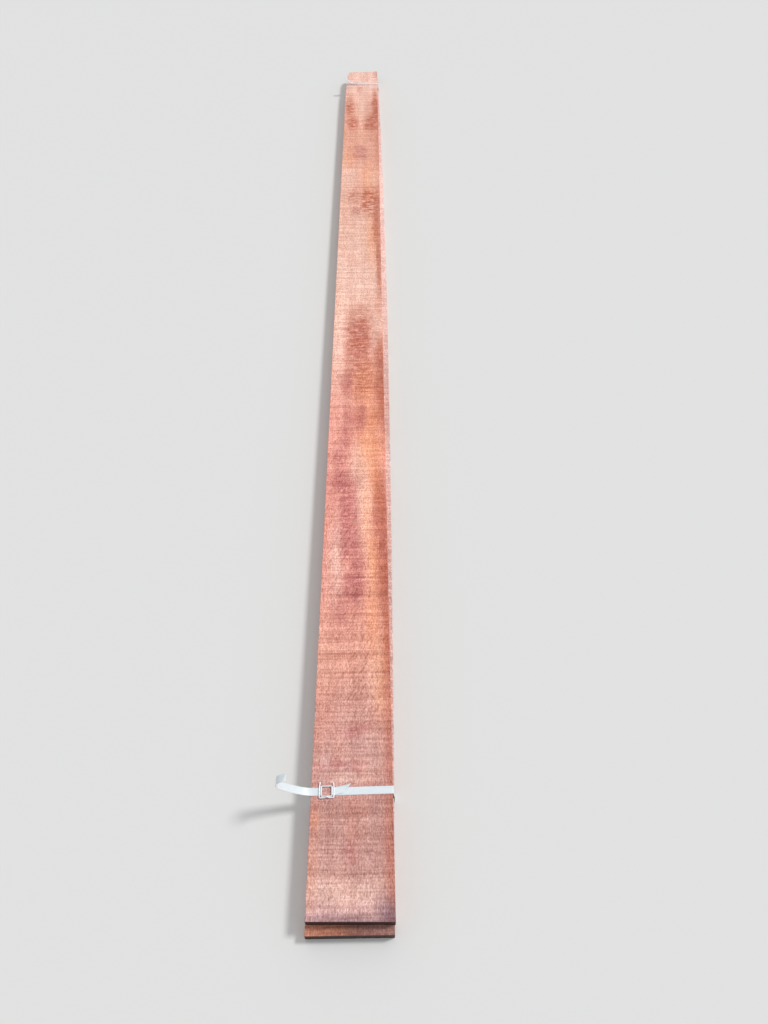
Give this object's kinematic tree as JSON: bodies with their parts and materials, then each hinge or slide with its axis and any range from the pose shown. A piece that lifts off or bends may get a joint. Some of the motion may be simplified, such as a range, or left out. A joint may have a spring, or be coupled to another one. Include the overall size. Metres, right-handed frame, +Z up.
{
  "type": "strapped pair of sawn planks",
  "caption": "Long rough-sawn hardwood planks stacked flat and tied by cord straps with bent-wire buckles, one plank a little bowed.",
  "frame": {"origin": "on the floor, under the middle of the bounding box of the whole strapped pair with its strap tails", "axes": "+Y along the planks from the near end, where the lower plank sticks out, to the far end; +Z up; +X to the right when looking along +Y"},
  "size_m": [0.2994, 5.03, 0.1623],
  "materials": {
    "timber": "matte",
    "strap": "satin",
    "buckle_wire": "satin"
  },
  "bodies": {
    "root": {"upper_plank": "timber", "lower_plank": "timber", "front_strap": "strap", "rear_strap": "strap", "front_buckle": "buckle_wire", "rear_buckle": "buckle_wire"}
  },
  "joints": []
}
